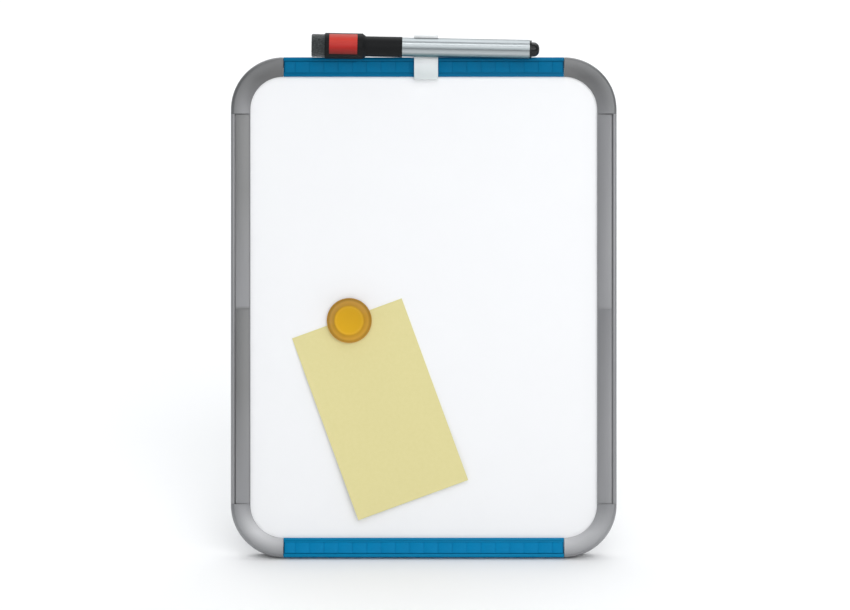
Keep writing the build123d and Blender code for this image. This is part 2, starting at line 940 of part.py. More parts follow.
with BuildPart() as pen_cap:
    with BuildSketch(pen_plane) as cap_profile:
        with BuildLine():
            Polyline(
                (cap_start, cap_bore),
                (cap_start, cap_radius),
                (taper_start, cap_radius),
                (head_start, cap_head_radius),
                (head_end, cap_head_radius),
                (head_end, eraser_bore),
                (eraser_seat_end, eraser_bore),
                (eraser_seat_end, head_hollow),
                (hollow_end, head_hollow),
                (hollow_end, 0),
                (chamber_end, 0),
                (chamber_end, cap_chamber_radius),
                (bore_end, cap_chamber_radius),
                (bore_end, cap_bore),
                close=True,
            )
        make_face()
        rims = cap_profile.vertices().sort_by_distance((head_end, cap_head_radius))[0]
        fillet(rims, (cap_head_radius - eraser_bore) * 0.8)
    revolve(axis=pen_axis)
    with BuildSketch(label_plane(label_start - label_margin)):
        add(label_band(label_seat - layer_gap, cap_head_radius + label_thickness, margin_angle))
    extrude(amount=label_length + 2 * label_margin, mode=Mode.SUBTRACT)

pen_cap.part.label = "pen_cap"
export_step(pen_cap.part, "parts/pen_cap.step")

with BuildPart() as cap_label:
    with BuildSketch(label_plane(label_start)):
        add(label_band(label_seat, cap_head_radius, 0))
    extrude(amount=label_length)

cap_label.part.label = "cap_label"
export_step(cap_label.part, "parts/cap_label.step")

with BuildPart() as felt_eraser:
    with BuildSketch(pen_plane) as eraser_profile:
        with BuildLine():
            Polyline(
                (eraser_seat_end - layer_gap, 0),
                (eraser_seat_end - layer_gap, eraser_radius),
                (head_end - eraser_length, eraser_radius),
                (head_end - eraser_length, 0),
                close=True,
            )
        make_face()
        outer_rim = (head_end - eraser_length, eraser_radius)
        fillet(eraser_profile.vertices().sort_by_distance(outer_rim)[0], eraser_round)
    revolve(axis=pen_axis)

felt_eraser.part.label = "felt_eraser"
export_step(felt_eraser.part, "parts/felt_eraser.step")

# ---- Magnet: an amber cap over a steel-faced disc ----

note_back = sheet_front + layer_gap
magnet_back = note_back + note_thickness + layer_gap
magnet_place = at(magnet_x, magnet_y, magnet_back)
magnet_axis = Axis(magnet_place, board_front)
magnet_plane = Plane(origin=magnet_place, x_dir=(1, 0, 0), z_dir=board_up * -1)
disc_seat = magnet_disc_radius + magnet_disc_clearance

with BuildPart() as magnet_cap:
    with BuildSketch(magnet_plane) as magnet_profile:
        with BuildLine():
            Polyline(
                (disc_seat, 0),
                (magnet_radius, 0),
                (magnet_radius, magnet_flange_height),
                (magnet_waist_radius, magnet_flange_height + magnet_top_round),
                (magnet_top_radius, magnet_height),
                (0, magnet_height),
                (0, magnet_disc_thickness + magnet_disc_clearance),
                (disc_seat, magnet_disc_thickness + magnet_disc_clearance),
                close=True,
            )
        make_face()
        top_rim = magnet_profile.vertices().sort_by_distance((magnet_top_radius, magnet_height))[0]
        fillet(top_rim, magnet_top_round)
    revolve(axis=magnet_axis)

magnet_cap.part.label = "magnet_cap"
export_step(magnet_cap.part, "parts/magnet_cap.step")

with BuildPart() as magnet_disc:
    with BuildSketch(Plane(origin=magnet_place, x_dir=(1, 0, 0), z_dir=board_front)):
        Circle(magnet_disc_radius)
    extrude(amount=magnet_disc_thickness)

magnet_disc.part.label = "magnet_disc"
export_step(magnet_disc.part, "parts/magnet_disc.step")

# ---- Note card under the magnet ----

with BuildPart() as note_card:
    with BuildSketch(board.offset(note_back)):
        with Locations((note_x, note_y)):
            Rectangle(note_width, note_length, rotation=note_turn)
    extrude(amount=note_thickness)

note_card.part.label = "note_card"
export_step(note_card.part, "parts/note_card.step")
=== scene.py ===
# %% [markdown]
# A magnetic whiteboard for a desk, dressed for a studio picture.
# The shapes of the frame, leg, clip, marker and magnet come from a finished CAD model. This lesson
# gives each of them the finish of the real plastic, enamel, felt or metal, rounds the edges that a
# mould would round, and models the two soft things that CAD leaves plain: the paper note and the
# felt eraser. Everything is in metres, in the place where the CAD model has it.

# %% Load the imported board
import math

import bmesh
import bpy
from mathutils import Matrix, Vector


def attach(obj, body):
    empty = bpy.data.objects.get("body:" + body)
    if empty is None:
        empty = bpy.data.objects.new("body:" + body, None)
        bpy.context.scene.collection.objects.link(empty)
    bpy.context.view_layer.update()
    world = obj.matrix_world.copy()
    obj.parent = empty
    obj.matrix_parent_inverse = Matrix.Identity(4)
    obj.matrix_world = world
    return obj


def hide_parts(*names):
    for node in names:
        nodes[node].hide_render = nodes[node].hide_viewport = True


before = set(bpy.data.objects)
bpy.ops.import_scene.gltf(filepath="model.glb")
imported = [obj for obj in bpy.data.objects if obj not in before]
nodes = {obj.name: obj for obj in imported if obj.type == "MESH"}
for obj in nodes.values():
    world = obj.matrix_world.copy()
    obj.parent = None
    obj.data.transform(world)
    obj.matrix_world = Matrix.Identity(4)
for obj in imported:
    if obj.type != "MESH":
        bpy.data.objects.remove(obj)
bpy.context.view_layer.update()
print("pieces in the packed board:", len(nodes))

# %% [markdown]
# The board leans back, so its own directions are more useful than the desk's. Across, up the board
# and out of the board are kept here once. Each place below is written in millimetres in those
# directions, from the middle of the board's bottom edge at its back.

# %% The board's own directions
MM = 0.001
LEAN = math.radians(18.0)
BOARD_FOOT = Vector((0.0, 2.7, -1.7)) * MM
TO_WORLD = Matrix(
    (
        (1, 0, 0),
        (0, math.sin(LEAN), -math.cos(LEAN)),
        (0, math.cos(LEAN), math.sin(LEAN)),
    )
)


def on_board(x, y, z):
    """World place of a point given across, up and out of the board, in millimetres."""
    return BOARD_FOOT + TO_WORLD @ (Vector((x, y, z)) * MM)


OUT = TO_WORLD @ Vector((0, 0, 1))
print("the board faces", [round(value, 3) for value in OUT])

# %% [markdown]
# Colours are written as the hex codes that a paint chart or a colour picker gives. Those are sRGB
# values, and a shader wants linear light, so one function turns them round. Nodes are added by one
# small function too: it makes the node, sets its choices, and fills or links its inputs. Patterns
# are placed in millimetres on the board, so that their sizes can be real ones.

# %% Colour and node helpers


def colour(code):
    """Linear colour from an sRGB hex code."""
    shares = [int(code[place : place + 2], 16) / 255 for place in (0, 2, 4)]
    linear = [
        share / 12.92 if share <= 0.04045 else ((share + 0.055) / 1.055) ** 2.4
        for share in shares
    ]
    return (*linear, 1.0)


def add_node(tree, kind, inputs=None, **choices):
    """A node with its choices set and its inputs filled or linked."""
    node = tree.nodes.new(kind)
    for name, value in choices.items():
        setattr(node, name, value)
    for name, value in (inputs or {}).items():
        if isinstance(value, bpy.types.NodeSocket):
            tree.links.new(value, node.inputs[name])
        else:
            node.inputs[name].default_value = value
    return node


def set_stops(ramp, stops):
    """Fills a colour ramp with pairs of place and hex code."""
    elements = ramp.color_ramp.elements
    while len(elements) > 1:
        elements.remove(elements[-1])
    elements[0].position, elements[0].color = stops[0][0], colour(stops[0][1])
    for place, code in stops[1:]:
        elements.new(place).color = colour(code)
    return ramp.outputs["Color"]


def new_finish(name, **surface):
    """A material with one Principled shader, its plain values set on its own sockets."""
    finish = bpy.data.materials.new(name)
    finish.use_nodes = True
    tree = finish.node_tree
    tree.nodes.clear()
    values = {
        key.replace("_", " ").title().replace("Ior", "IOR"): value
        for key, value in surface.items()
    }
    shader = add_node(tree, "ShaderNodeBsdfPrincipled", values)
    add_node(tree, "ShaderNodeOutputMaterial", {"Surface": shader.outputs["BSDF"]})
    return finish, tree, shader


def board_place(tree):
    """Place on the board in millimetres: x across, y up the board, z out of it."""
    place = add_node(tree, "ShaderNodeTexCoord").outputs["Object"]
    turned = TO_WORLD.transposed().to_euler()
    origin = TO_WORLD.transposed() @ BOARD_FOOT / MM
    return add_node(
        tree,
        "ShaderNodeMapping",
        {
            "Vector": place,
            "Scale": (1 / MM, 1 / MM, 1 / MM),
            "Rotation": turned,
            "Location": -origin,
        },
    ).outputs["Vector"]


# %% [markdown]
# A few more functions do what most finishes need. A pattern can stand up from the surface, tint it,
# change its roughness, or lighten and darken a tone. A tone can also change slowly with height, up
# the board or up across the marker. Streaks are a noise that is drawn out in one direction.

# %% What patterns do to a surface


def relief(tree, shader, pattern, depth, strength=1.0):
    """Lets a pattern stand up from the surface by a depth in millimetres."""
    bump = add_node(
        tree,
        "ShaderNodeBump",
        {"Height": pattern, "Strength": strength, "Distance": depth * MM},
    )
    tree.links.new(bump.outputs["Normal"], shader.inputs["Normal"])


def moulded_grain(tree, shader, place, size, depth, detail=3.0):
    """The fine texture that a spark-eroded mould leaves, with a size and depth in millimetres."""
    noise = add_node(
        tree,
        "ShaderNodeTexNoise",
        {"Vector": place, "Scale": 1 / size, "Detail": detail, "Roughness": 0.55},
    )
    relief(tree, shader, noise.outputs["Fac"], depth)
    return noise.outputs["Fac"]


def streaks(tree, place, grain):
    """Noise drawn out into lines, with its grain in millimetres along x, y and z."""
    stretched = add_node(
        tree,
        "ShaderNodeMapping",
        {"Vector": place, "Scale": tuple(1 / length for length in grain)},
    )
    return add_node(
        tree, "ShaderNodeTexNoise", {"Vector": stretched.outputs["Vector"], "Scale": 1.0}
    ).outputs["Fac"]


def tint(tree, shader, pattern, *stops):
    """Colours the surface by a pattern, with pairs of place and hex code."""
    ramp = add_node(tree, "ShaderNodeValToRGB", {"Fac": pattern})
    tree.links.new(set_stops(ramp, stops), shader.inputs["Base Color"])


def vary(tree, shader, socket, pattern, low, high):
    """Lets a pattern move one of the shader's values between two limits."""
    spread = add_node(
        tree, "ShaderNodeMapRange", {"Value": pattern, "To Min": low, "To Max": high}
    )
    tree.links.new(spread.outputs["Result"], shader.inputs[socket])


def shaded(tree, tone, pattern, low, high, start=0.0, end=1.0):
    """A tone made lighter or darker by a pattern: times low at its start, times high at its end."""
    spread = add_node(
        tree,
        "ShaderNodeMapRange",
        {"Value": pattern, "From Min": start, "From Max": end, "To Min": low, "To Max": high},
    )
    return add_node(
        tree,
        "ShaderNodeVectorMath",
        {0: tone, "Scale": spread.outputs["Result"]},
        operation="SCALE",
    ).outputs["Vector"]


def tone_up(tree, place, low, high, stops):
    """A tone that changes with height, between a low and a high place in millimetres."""
    height = add_node(tree, "ShaderNodeSeparateXYZ", {"Vector": place}).outputs["Y"]
    share = add_node(
        tree, "ShaderNodeMapRange", {"Value": height, "From Min": low, "From Max": high}
    )
    ramp = add_node(tree, "ShaderNodeValToRGB", {"Fac": share.outputs["Result"]})
    return set_stops(ramp, stops)


def dress(finish, *names):
    """Gives CAD pieces a finish in place of their plain one."""
    for name in names:
        nodes[name].data.materials.clear()
        nodes[name].data.materials.append(finish)


# %% [markdown]
# Moulded plastic and cut metal have no perfectly sharp edges: a radius of a tenth or two of a
# millimetre catches a line of light. The CAD mesh stays as it is, and modifiers do the rounding. Weld
# joins its loose triangles, Decimate merges the flat ones, and Bevel rounds what is left sharp.

# %% Rounded edges


def soften(radius, *names):
    """Rounds the sharp edges of CAD pieces by a radius in millimetres."""
    for name in names:
        piece = nodes[name]
        weld = piece.modifiers.new("join corners", "WELD")
        weld.merge_threshold = 1e-6
        flat = piece.modifiers.new("join flat faces", "DECIMATE")
        flat.decimate_type = "DISSOLVE"
        flat.angle_limit = math.radians(0.4)
        rounding = piece.modifiers.new("rounded edges", "BEVEL")
        rounding.width = radius * MM
        rounding.segments = 2
        rounding.limit_method = "ANGLE"
        rounding.angle_limit = math.radians(35)
        rounding.harden_normals = True
        piece.data.shade_smooth()


CORNERS = [f"corner_{side}" for side in ("top_left", "top_right", "bottom_left", "bottom_right")]
INLAYS = [f"{side}_inlay_{half}" for side in ("left", "right") for half in ("upper", "lower")]

soften(0.1, "top_rail", "bottom_rail", "left_rail", "right_rail")
soften(0.05, "top_strip", "bottom_strip", *INLAYS)
soften(0.15, "hinge_bracket", "pen_clip")
soften(0.3, "easel_leg")

# %% [markdown]
# The corners are ABS, moulded and then sprayed a satin silver. A sprayed silver is a clear coat with
# tiny aluminium flakes in it, so it is part metal, part plastic, and its tone follows the light much
# more than a plain grey does. The flakes are 0.3 mm here, coarser than real ones, so that they show.
# The paint also carries painted shade, which the lights give only in part: the crown is painted pale
# at the foot of the board and dark at the top, the rim has a painted shade of its own, and the whole
# is painted a little darker towards the left.

# %% Silver paint on the corners
silver_paint, tree, shader = new_finish(
    "silver_painted_abs",
    metallic=0.45,
    roughness=0.42,
    ior=1.5,
    coat_weight=0.2,
    coat_roughness=0.25,
)
place = board_place(tree)
BOARD_TOP = 280.0
# Painted shade: the crown is painted pale at the foot of the board and dark at the top.
crown_painted_shade = tone_up(
    tree,
    place,
    0.0,
    BOARD_TOP,
    [
        (0.0, "a0a0a2"),
        (0.05, "c0c0c2"),
        (0.11, "969698"),
        (0.89, "929294"),
        (0.96, "6e6e6e"),
        (1.0, "848484"),
    ],
)
# Painted shade on the rim, darker high on the board.
rim_painted_shade = tone_up(tree, place, 0.0, BOARD_TOP, [(0.1, "868789"), (0.89, "6f7071")])

# All four corners are folded onto one, and the radius is measured from the middle of its arc.
ARC_X, ARC_Y = 78.7, 110.7
RIM_RADIUS, CROWN_RADIUS, RIM_SHARE = 27.0, 21.0, 0.35
steps = [
    ("SUBTRACT", (0, BOARD_TOP / 2, 0)),
    ("ABSOLUTE", (0, 0, 0)),
    ("SUBTRACT", (ARC_X, ARC_Y, 0)),
    ("MULTIPLY", (1, 1, 0)),
]
from_arc = place
for operation, amount in steps:
    from_arc = add_node(
        tree, "ShaderNodeVectorMath", {0: from_arc, 1: amount}, operation=operation
    ).outputs["Vector"]
arc_radius = add_node(
    tree, "ShaderNodeVectorMath", {0: from_arc}, operation="LENGTH"
).outputs["Value"]
inward = add_node(
    tree,
    "ShaderNodeMapRange",
    {
        "Value": arc_radius,
        "From Min": RIM_RADIUS,
        "From Max": CROWN_RADIUS,
        "To Min": RIM_SHARE,
    },
)
paint = add_node(
    tree,
    "ShaderNodeMix",
    {"Factor": inward.outputs["Result"], "A": rim_painted_shade, "B": crown_painted_shade},
    data_type="RGBA",
).outputs["Result"]
FLAKE = 0.3
flakes = add_node(tree, "ShaderNodeTexVoronoi", {"Vector": place, "Scale": 1 / FLAKE})
paint = shaded(tree, paint, flakes.outputs["Distance"], 1.04, 0.96)
# Painted shade: the whole corner is painted a little darker towards the left.
across = add_node(tree, "ShaderNodeSeparateXYZ", {"Vector": place}).outputs["X"]
LEFT_END, RIGHT_END = -100.0, 100.0
paint = shaded(tree, paint, across, 0.87, 0.95, LEFT_END, RIGHT_END)
tree.links.new(paint, shader.inputs["Base Color"])
moulded_grain(tree, shader, place, size=0.5, depth=0.004)
dress(silver_paint, *CORNERS)

# %% [markdown]
# The side rails are extruded and the inlays are thin plates pressed into them. Both have the same
# silver, with fine draw lines along their length. Each plate has a slow change of tone painted along
# it as painted shade, so the joint half way down shows as a step. The left plates change more than the
# right ones.

# %% Silver side rails and inlays
RAIL_LOW, RAIL_HIGH = 30.0, 250.0
DRAW_WIDTH, DRAW_LENGTH = 0.25, 40.0


def drawn_silver(name, stops):
    """Satin silver with draw lines up the board and a tone along the rail, painted shade on the
    inlays.
    """
    finish, tree, shader = new_finish(
        name, metallic=0.35, ior=1.5, coat_weight=0.15, coat_roughness=0.3
    )
    place = board_place(tree)
    lines = streaks(tree, place, (DRAW_WIDTH, DRAW_LENGTH, DRAW_WIDTH))
    tone = shaded(tree, tone_up(tree, place, RAIL_LOW, RAIL_HIGH, stops), lines, 0.96, 1.04)
    tree.links.new(tone, shader.inputs["Base Color"])
    vary(tree, shader, "Roughness", lines, 0.38, 0.5)
    relief(tree, shader, lines, depth=0.004)
    return finish


dress(drawn_silver("drawn_silver_rail", [(0.0, "929294")]), "left_rail", "right_rail")
JOINT_LOW, JOINT_HIGH = 0.499, 0.501
SHADE_PLACES = (0.0, 0.3, JOINT_LOW, JOINT_HIGH, 0.8, 1.0)
# Painted shade: each inlay plate is painted lighter and darker along its length, the left ones more.
SIDE_PAINTED_SHADE = {
    "left": ("949496", "787878", "787878", "949496", "7c7c7c", "828282"),
    "right": ("909092", "8c8c8e", "8a8a8c", "909092", "8e8e90", "929294"),
}
for side, painted_shades in SIDE_PAINTED_SHADE.items():
    finish = drawn_silver(f"drawn_silver_{side}_inlay", list(zip(SHADE_PLACES, painted_shades)))
    dress(finish, f"{side}_inlay_upper", f"{side}_inlay_lower")

# %% [markdown]
# The blue rails are coloured right through: extruded ABS with a satin skin, and a ribbed strip of the
# same blue that fingers grip. Through-coloured ABS has a slightly soft, even reflection, broken by a
# grain of about half a millimetre.

# %% Blue rails and grip strips
BOTTOM_RAIL_TOP, TOP_RAIL_FOOT = 20.0, 260.0
CLOUD = 12.0


def blue_with_painted_shade(tree, place, top_code, bottom_code):
    """Blue with a faint cloud in it, painted darker in the top rail and lighter in the bottom one as
    painted shade.
    """
    stops = [(0.0, bottom_code), (1.0, top_code)]
    tone = tone_up(tree, place, BOTTOM_RAIL_TOP, TOP_RAIL_FOOT, stops)
    cloud = add_node(
        tree, "ShaderNodeTexNoise", {"Vector": place, "Scale": 1 / CLOUD, "Detail": 4.0}
    )
    return shaded(tree, tone, cloud.outputs["Fac"], 0.94, 1.06)


# Painted shade: both blues are painted darker on the top rail and lighter on the bottom one.
blue_abs, tree, shader = new_finish("blue_abs", ior=1.53, specular_ior_level=0.07)
place = board_place(tree)
tree.links.new(blue_with_painted_shade(tree, place, "006a95", "007ead"), shader.inputs["Base Color"])
grain = moulded_grain(tree, shader, place, size=0.5, depth=0.006)
vary(tree, shader, "Roughness", grain, 0.36, 0.48)
dress(blue_abs, "top_rail", "bottom_rail")

blue_grip, tree, shader = new_finish("blue_grip_strip", ior=1.5, specular_ior_level=0.07)
place = board_place(tree)
tree.links.new(blue_with_painted_shade(tree, place, "006c98", "0080b4"), shader.inputs["Base Color"])
grain = moulded_grain(tree, shader, place, size=0.35, depth=0.008)
vary(tree, shader, "Roughness", grain, 0.44, 0.6)
dress(blue_grip, "top_strip", "bottom_strip")

# %% [markdown]
# The writing surface is enamelled or lacquered steel: a cool white gloss that a dry marker wipes off.
# The lacquer flows out almost flat, with waves some 12 mm long, and wiping leaves faint hazy patches
# that only show as a change of gloss.

# %% White enamel writing sheet
enamel, tree, shader = new_finish(
    "white_enamel", ior=1.55, coat_weight=0.3, coat_roughness=0.08
)
place = board_place(tree)
WIPED_PATCH, WAVE = 45.0, 12.0
haze = add_node(
    tree, "ShaderNodeTexNoise", {"Vector": place, "Scale": 1 / WIPED_PATCH, "Detail": 6.0}
).outputs["Fac"]
tint(tree, shader, haze, (0.2, "f4f4f5"), (0.8, "f6f6f7"))
vary(tree, shader, "Roughness", haze, 0.28, 0.33)
waves = add_node(tree, "ShaderNodeTexNoise", {"Vector": place, "Scale": 1 / WAVE, "Detail": 1.0})
relief(tree, shader, waves.outputs["Fac"], depth=0.01)
dress(enamel, "writing_sheet")

# %% [markdown]
# Behind the enamel lies hardboard, brown pressed wood fibre, and behind that a steel sheet with a grey
# coil coating. Coil coating is rolled on, and its skin has the fine pimples called orange peel.

# %% Core board and backing sheet
hardboard, tree, shader = new_finish("pressed_hardboard", roughness=0.85, ior=1.45)
place = board_place(tree)
WOOD_FIBRE = 1.2
fibres = add_node(
    tree,
    "ShaderNodeTexNoise",
    {"Vector": place, "Scale": 1 / WOOD_FIBRE, "Detail": 8.0, "Distortion": 1.5},
)
tint(tree, shader, fibres.outputs["Fac"], (0.3, "5f4630"), (0.7, "967652"))
dress(hardboard, "core_board")

coil_coat, tree, shader = new_finish("grey_coil_coating", metallic=0.1, ior=1.5)
place = board_place(tree)
peel = moulded_grain(tree, shader, place, size=1.4, depth=0.02, detail=2.0)
ROLLED_CLOUD = 60.0
cloud = add_node(
    tree, "ShaderNodeTexNoise", {"Vector": place, "Scale": 1 / ROLLED_CLOUD, "Detail": 5.0}
)
tint(tree, shader, cloud.outputs["Fac"], (0.3, "8e9092"), (0.7, "999b9d"))
vary(tree, shader, "Roughness", peel, 0.4, 0.52)
dress(coil_coat, "backing_sheet")

# %% [markdown]
# Rubber feet are black, matt and a little dusty. Under the board and under the leg the same strip is
# used, with a grain of 0.4 mm that stops it sliding.

# %% Rubber feet
rubber, tree, shader = new_finish("black_rubber", roughness=0.8, ior=1.52)
place = board_place(tree)
dust = moulded_grain(tree, shader, place, size=0.4, depth=0.03)
tint(tree, shader, dust, (0.35, "161616"), (0.75, "2b2a29"))
dress(rubber, "foot_strip", "leg_foot")

# %% [markdown]
# The hinge is sheet steel, powder coated: the powder melts into a skin with rounded bumps about a
# millimetre across. Its rivets are bare aluminium and its pin is ground steel, whose grinding lines
# run round it.

# %% Hinge bracket, rivets and pin
powder_coat, tree, shader = new_finish("grey_powder_coat", ior=1.5, coat_weight=0.1)
place = board_place(tree)
skin = moulded_grain(tree, shader, place, size=0.9, depth=0.03, detail=1.0)
tint(tree, shader, skin, (0.3, "707274"), (0.7, "7c7e80"))
vary(tree, shader, "Roughness", skin, 0.38, 0.5)
dress(powder_coat, "hinge_bracket")

bright_aluminium, tree, shader = new_finish("bright_aluminium", metallic=1.0)
place = board_place(tree)
scuff = moulded_grain(tree, shader, place, size=0.6, depth=0.01)
tint(tree, shader, scuff, (0.3, "c9cacc"), (0.7, "dedfe0"))
vary(tree, shader, "Roughness", scuff, 0.28, 0.4)
dress(bright_aluminium, "bracket_rivets")

ground_steel, tree, shader = new_finish("ground_steel", metallic=1.0)
place = board_place(tree)
GRIND_WIDTH, GRIND_LENGTH = 0.12, 5.0
lines = streaks(tree, place, (GRIND_WIDTH, GRIND_LENGTH, GRIND_LENGTH))
tint(tree, shader, lines, (0.3, "a9aaad"), (0.7, "c4c5c8"))
vary(tree, shader, "Roughness", lines, 0.28, 0.38)
dress(ground_steel, "hinge_pin")

# %% [markdown]
# The easel leg is moulded in one piece from grey ABS, with a spark grain deep enough to hide finger
# marks. A grain of 0.8 mm reads as the leathery texture of such a part.

# %% Easel leg
grained_abs, tree, shader = new_finish("grey_grained_abs", ior=1.53)
place = board_place(tree)
grain = moulded_grain(tree, shader, place, size=0.8, depth=0.03)
tint(tree, shader, grain, (0.3, "8c8d8f"), (0.7, "98999b"))
vary(tree, shader, "Roughness", grain, 0.45, 0.62)
dress(grained_abs, "easel_leg")

# %% [markdown]
# The clip is white polypropylene. It is translucent, so light goes a little way in and comes out
# again, which softens its edges and lifts its shaded sides. The plate is also painted paler towards
# its top, painted light that lifts the shade under the marker.

# %% White clip
white_plastic, tree, shader = new_finish(
    "white_polypropylene",
    ior=1.49,
    subsurface_weight=0.5,
    subsurface_radius=(1.0, 1.0, 1.0),
    subsurface_scale=0.002,
)
CLIP_FOOT = 267.0
# Painted light: the plate is painted paler towards its top, under the marker.
CLIP_PAINTED_LIGHT = [(0.0, "d6dcdc"), (0.3, "dbe1e1"), (0.7, "ecf0f0"), (0.9, "fafcfc")]
place = board_place(tree)
grain = moulded_grain(tree, shader, place, size=1.5, depth=0.01)
tone = tone_up(tree, place, CLIP_FOOT, BOARD_TOP, CLIP_PAINTED_LIGHT)
tree.links.new(shaded(tree, tone, grain, 0.97, 1.0), shader.inputs["Base Color"])
vary(tree, shader, "Roughness", grain, 0.28, 0.4)
dress(white_plastic, "pen_clip")

# %% [markdown]
# The marker lies across the top, tipped one degree. Its patterns follow its own length, so a second
# set of coordinates starts at the middle of the clip, with x along the marker and y and z across it.

# %% The marker's own directions
PEN_TILT = math.radians(1.05)
PEN_PLACE = on_board(1.3, 285.2, 14.5)
PEN_TO_WORLD = TO_WORLD @ Matrix.Rotation(-PEN_TILT, 3, "Z")


def pen_place(tree):
    """Place on the marker in millimetres: x along it, y up and z out."""
    place = add_node(tree, "ShaderNodeTexCoord").outputs["Object"]
    origin = PEN_TO_WORLD.transposed() @ PEN_PLACE / MM
    return add_node(
        tree,
        "ShaderNodeMapping",
        {
            "Vector": place,
            "Scale": (1 / MM, 1 / MM, 1 / MM),
            "Rotation": PEN_TO_WORLD.transposed().to_euler(),
            "Location": -origin,
        },
    ).outputs["Vector"]


# %% [markdown]
# The barrel is a drawn aluminium tube, polished and then clear anodised. Polishing wheels run along
# it, so its fine lines do too, and they spread each reflection round the tube. Its tone is painted
# reflection. A tube that lies on a blue rail mirrors the rail along its underside, so the tone there
# is painted dark and blue. Two pale painted bands with a darker one between them stand for the boxes
# and walls round such a tube, which the lights here give only in part.

# %% Aluminium barrel
anodised, tree, shader = new_finish(
    "clear_anodised_aluminium", metallic=1.0, anisotropic=0.3
)
BARREL_RADIUS = 5.35
POLISH_LENGTH, POLISH_WIDTH = 25.0, 0.15
place = pen_place(tree)
lines = streaks(tree, place, (POLISH_LENGTH, POLISH_WIDTH, POLISH_WIDTH))
# Painted reflection: a dark blue band along the underside, and pale and dark bands above it.
tone = tone_up(
    tree,
    place,
    -BARREL_RADIUS,
    BARREL_RADIUS,
    [
        (0.05, "567880"),
        (0.22, "b4babc"),
        (0.5, "808688"),
        (0.72, "c8ced0"),
        (0.9, "92989a"),
    ],
)
tree.links.new(shaded(tree, tone, lines, 0.96, 1.04), shader.inputs["Base Color"])
vary(tree, shader, "Roughness", lines, 0.28, 0.31)
dress(anodised, "pen_barrel")

# %% [markdown]
# Cap and end plug are black polypropylene. The cap is satin, from a sanded mould, and the plug a
# little glossier. Black plastic is never quite black: it is a very dark grey with a soft sheen.

# %% Cap, plug and the parts inside
satin_black, tree, shader = new_finish(
    "satin_black_polypropylene", ior=1.49, specular_ior_level=0.12
)
place = pen_place(tree)
grain = moulded_grain(tree, shader, place, size=0.3, depth=0.008)
tint(tree, shader, grain, (0.3, "151617"), (0.7, "1b1c1d"))
vary(tree, shader, "Roughness", grain, 0.42, 0.54)
dress(satin_black, "pen_cap")

gloss_black, tree, shader = new_finish(
    "gloss_black_polypropylene", ior=1.49, specular_ior_level=0.35
)
place = pen_place(tree)
grain = moulded_grain(tree, shader, place, size=0.8, depth=0.006)
tint(tree, shader, grain, (0.3, "0b0c0d"), (0.7, "101113"))
vary(tree, shader, "Roughness", grain, 0.2, 0.27)
dress(gloss_black, "end_plug")

white_collar, tree, shader = new_finish("white_collar_plastic", ior=1.49)
place = pen_place(tree)
grain = moulded_grain(tree, shader, place, size=0.6, depth=0.006)
tint(tree, shader, grain, (0.3, "dcdcd8"), (0.7, "e4e4e0"))
vary(tree, shader, "Roughness", grain, 0.3, 0.42)
dress(white_collar, "nib_holder")

ink_felt, tree, shader = new_finish("inked_fibre", roughness=0.7, sheen_weight=0.2)
STRAND_LENGTH, STRAND_WIDTH = 3.0, 0.2
strands = streaks(tree, pen_place(tree), (STRAND_LENGTH, STRAND_WIDTH, STRAND_WIDTH))
tint(tree, shader, strands, (0.3, "0b0b0c"), (0.7, "1c1c1f"))
dress(ink_felt, "nib", "ink_reservoir")

# %% [markdown]
# The label is a red film, printed plain and set in a shallow recess of the cap. Its tone is painted
# shade, from a pale red near the top to a deep one at the bottom, where the cap turns from the light.
# The print has a fine screen, and its skin is smooth.

# %% Red label
red_film, tree, shader = new_finish("red_printed_film", ior=1.46, specular_ior_level=0.3)
LABEL_FOOT, LABEL_TOP = -5.0, 6.5
# Painted shade: the label is painted pale near the top and deep at the bottom.
LABEL_PAINTED_SHADE = [(0.0, "681c18"), (0.4, "b8221c"), (0.75, "cc3c30"), (1.0, "ac382c")]
SCREEN_DOT = 0.5
place = pen_place(tree)
screen = add_node(
    tree, "ShaderNodeTexNoise", {"Vector": place, "Scale": 1 / SCREEN_DOT}
).outputs["Fac"]
tone = tone_up(tree, place, LABEL_FOOT, LABEL_TOP, LABEL_PAINTED_SHADE)
tree.links.new(shaded(tree, tone, screen, 0.96, 1.04), shader.inputs["Base Color"])
vary(tree, shader, "Roughness", screen, 0.3, 0.4)
dress(red_film, "cap_label")

# %% [markdown]
# The eraser is needled felt: grey and black fibres punched into a block, so it is mottled and its
# surface is uneven. The CAD block is kept: Remesh cuts it into faces of a quarter of a millimetre, and
# Displace presses hollows of up to 0.4 mm into it, never outwards, so that it stays inside the cap.

# %% Felt eraser
felt, tree, shader = new_finish(
    "needled_felt", roughness=0.95, sheen_weight=0.4, sheen_roughness=0.5
)
TUFT = 1.1
tufts = add_node(
    tree,
    "ShaderNodeTexNoise",
    {
        "Vector": pen_place(tree),
        "Scale": 1 / TUFT,
        "Detail": 6.0,
        "Roughness": 0.7,
        "Distortion": 1.2,
    },
).outputs["Fac"]
tint(tree, shader, tufts, (0.3, "171a1a"), (0.5, "2c3030"), (0.7, "4c5152"))
relief(tree, shader, tufts, depth=0.25)
dress(felt, "felt_eraser")

hollows = bpy.data.textures.new("felt_hollows", "CLOUDS")
hollows.noise_scale = 0.9 * MM
hollows.noise_depth = 2
block = nodes["felt_eraser"]
cut = block.modifiers.new("fine faces", "REMESH")
cut.mode = "VOXEL"
cut.voxel_size = 0.25 * MM
cut.use_smooth_shade = True
press = block.modifiers.new("pressed hollows", "DISPLACE")
press.texture = hollows
press.texture_coords = "LOCAL"
press.mid_level = 1.0
press.strength = 0.4 * MM
